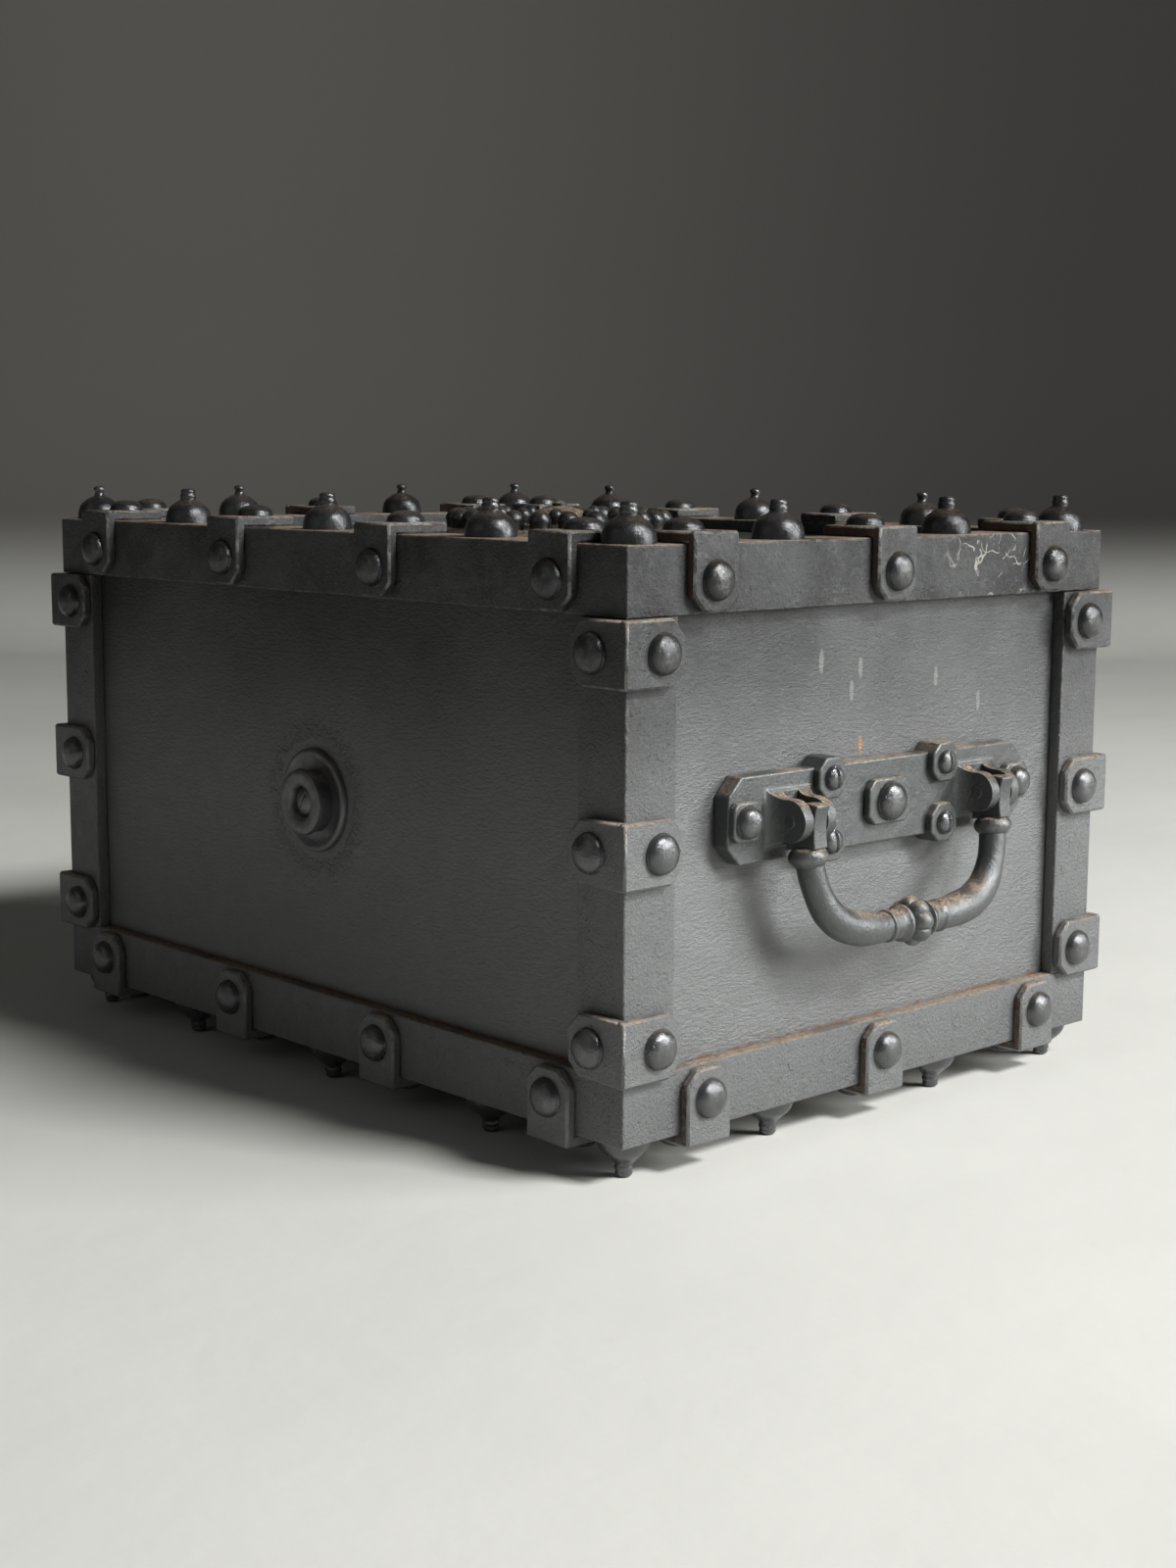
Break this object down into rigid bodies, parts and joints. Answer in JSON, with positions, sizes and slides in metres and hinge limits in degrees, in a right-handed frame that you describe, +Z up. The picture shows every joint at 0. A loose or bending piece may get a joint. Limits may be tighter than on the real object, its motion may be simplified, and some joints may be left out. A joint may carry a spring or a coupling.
{
  "type": "strongbox",
  "caption": "Riveted iron strongbox with a hinged bolt-locking lid, domed feet and finials, and a swinging bail handle on each short side.",
  "frame": {"origin": "middle of the footprint, level with the tips of the feet", "axes": "+X along the long side, +Y to the hinged back, +Z up; the front with the round boss faces -Y"},
  "size_m": [0.6042, 0.417, 0.342],
  "materials": {
    "panel_iron": "brushed black paint, semi-matt",
    "angle_iron": "blackened, rough and pitted",
    "clip_iron": "blackened, edges rubbed",
    "stud_iron": "blackened, polished by handling",
    "handle_iron": "blackened, satin",
    "ornament_iron": "blackened, satin",
    "lock_iron": "dark oiled steel",
    "bare_steel": "filed bright, dulled"
  },
  "bodies": {
    "box": {"bottom_plate": "panel_iron", "front_panel": "panel_iron", "right_panel": "panel_iron", "back_panel": "panel_iron", "left_panel": "panel_iron", "base_iron_front": "angle_iron", "base_iron_right": "angle_iron", "base_iron_back": "angle_iron", "base_iron_left": "angle_iron", "corner_iron_front_right": "angle_iron", "corner_iron_back_right": "angle_iron", "corner_iron_back_left": "angle_iron", "corner_iron_front_left": "angle_iron", "corner_clips": "clip_iron", "corner_rivets": "stud_iron", "base_clips": "clip_iron", "base_rivets": "stud_iron", "panel_rivets": "angle_iron", "feet": "stud_iron", "rim_rail_front": "lock_iron", "rim_rail_right": "lock_iron", "rim_rail_back": "lock_iron", "rim_rail_left": "lock_iron", "hinge_leaves_body": "clip_iron", "hinge_pins": "bare_steel", "boss_ring": "ornament_iron", "boss_disc": "ornament_iron", "boss_screw": "ornament_iron", "handle_plate_right": "handle_iron", "handle_plate_left": "handle_iron", "handle_pads": "handle_iron", "handle_screws": "stud_iron", "handle_brackets_right": "handle_iron", "handle_brackets_left": "handle_iron", "pivot_pins": "handle_iron"},
    "lid": {"lid_panel": "panel_iron", "lid_iron_front": "angle_iron", "lid_iron_right": "angle_iron", "lid_iron_back": "angle_iron", "lid_iron_left": "angle_iron", "lid_clips": "clip_iron", "lid_rivets": "stud_iron", "lid_finials": "stud_iron", "hinge_leaves_lid": "clip_iron", "ornament_plate": "ornament_iron", "ornament_lobes": "stud_iron", "ornament_knobs": "stud_iron", "cover_pin": "bare_steel", "lock_plate": "lock_iron", "lock_pillars": "lock_iron", "bolt_guides": "bare_steel"},
    "cover": {"keyhole_cover": "ornament_iron"},
    "cam": {"lock_cam": "lock_iron", "lock_spindle": "bare_steel"},
    "bolt_front": {"bolt_front": "bare_steel"},
    "bolt_right": {"bolt_right": "bare_steel"},
    "bolt_back": {"bolt_back": "bare_steel"},
    "bolt_left": {"bolt_left": "bare_steel"},
    "bail_right": {"bail_right": "handle_iron"},
    "bail_left": {"bail_left": "handle_iron"}
  },
  "joints": [
    {"name": "lid_hinge", "type": "hinge", "parent": "box", "child": "lid", "pos_m": [0, 0.203, 0.286], "axis": [-1, 0, 0], "range_deg": [0, 100]},
    {"name": "cover_hinge", "type": "hinge", "parent": "lid", "child": "cover", "pos_m": [0, 0.031, 0.323], "axis": [-1, 0, 0], "range_deg": [0, 100]},
    {"name": "lock_turn", "type": "hinge", "parent": "lid", "child": "cam", "pos_m": [0, 0, 0.283], "axis": [0, 0, 1], "range_deg": [0, 90]},
    {"name": "bolt_front_slide", "type": "slide", "parent": "lid", "child": "bolt_front", "axis": [0, -1, 0], "range_m": [0, 0.013]},
    {"name": "bolt_right_slide", "type": "slide", "parent": "lid", "child": "bolt_right", "axis": [1, 0, 0], "range_m": [0, 0.013]},
    {"name": "bolt_back_slide", "type": "slide", "parent": "lid", "child": "bolt_back", "axis": [0, 1, 0], "range_m": [0, 0.013]},
    {"name": "bolt_left_slide", "type": "slide", "parent": "lid", "child": "bolt_left", "axis": [-1, 0, 0], "range_m": [0, 0.013]},
    {"name": "bail_right_swing", "type": "hinge", "parent": "box", "child": "bail_right", "pos_m": [0.2795, -0.003, 0.178], "axis": [0, -1, 0], "range_deg": [0, 95]},
    {"name": "bail_left_swing", "type": "hinge", "parent": "box", "child": "bail_left", "pos_m": [-0.2795, -0.003, 0.178], "axis": [0, 1, 0], "range_deg": [0, 95]}
  ],
  "couplings": [
    {"joint": "bolt_front_slide", "follows": "lock_turn", "m_per_rad": 0.008276},
    {"joint": "bolt_right_slide", "follows": "lock_turn", "m_per_rad": 0.008276},
    {"joint": "bolt_back_slide", "follows": "lock_turn", "m_per_rad": 0.008276},
    {"joint": "bolt_left_slide", "follows": "lock_turn", "m_per_rad": 0.008276}
  ]
}
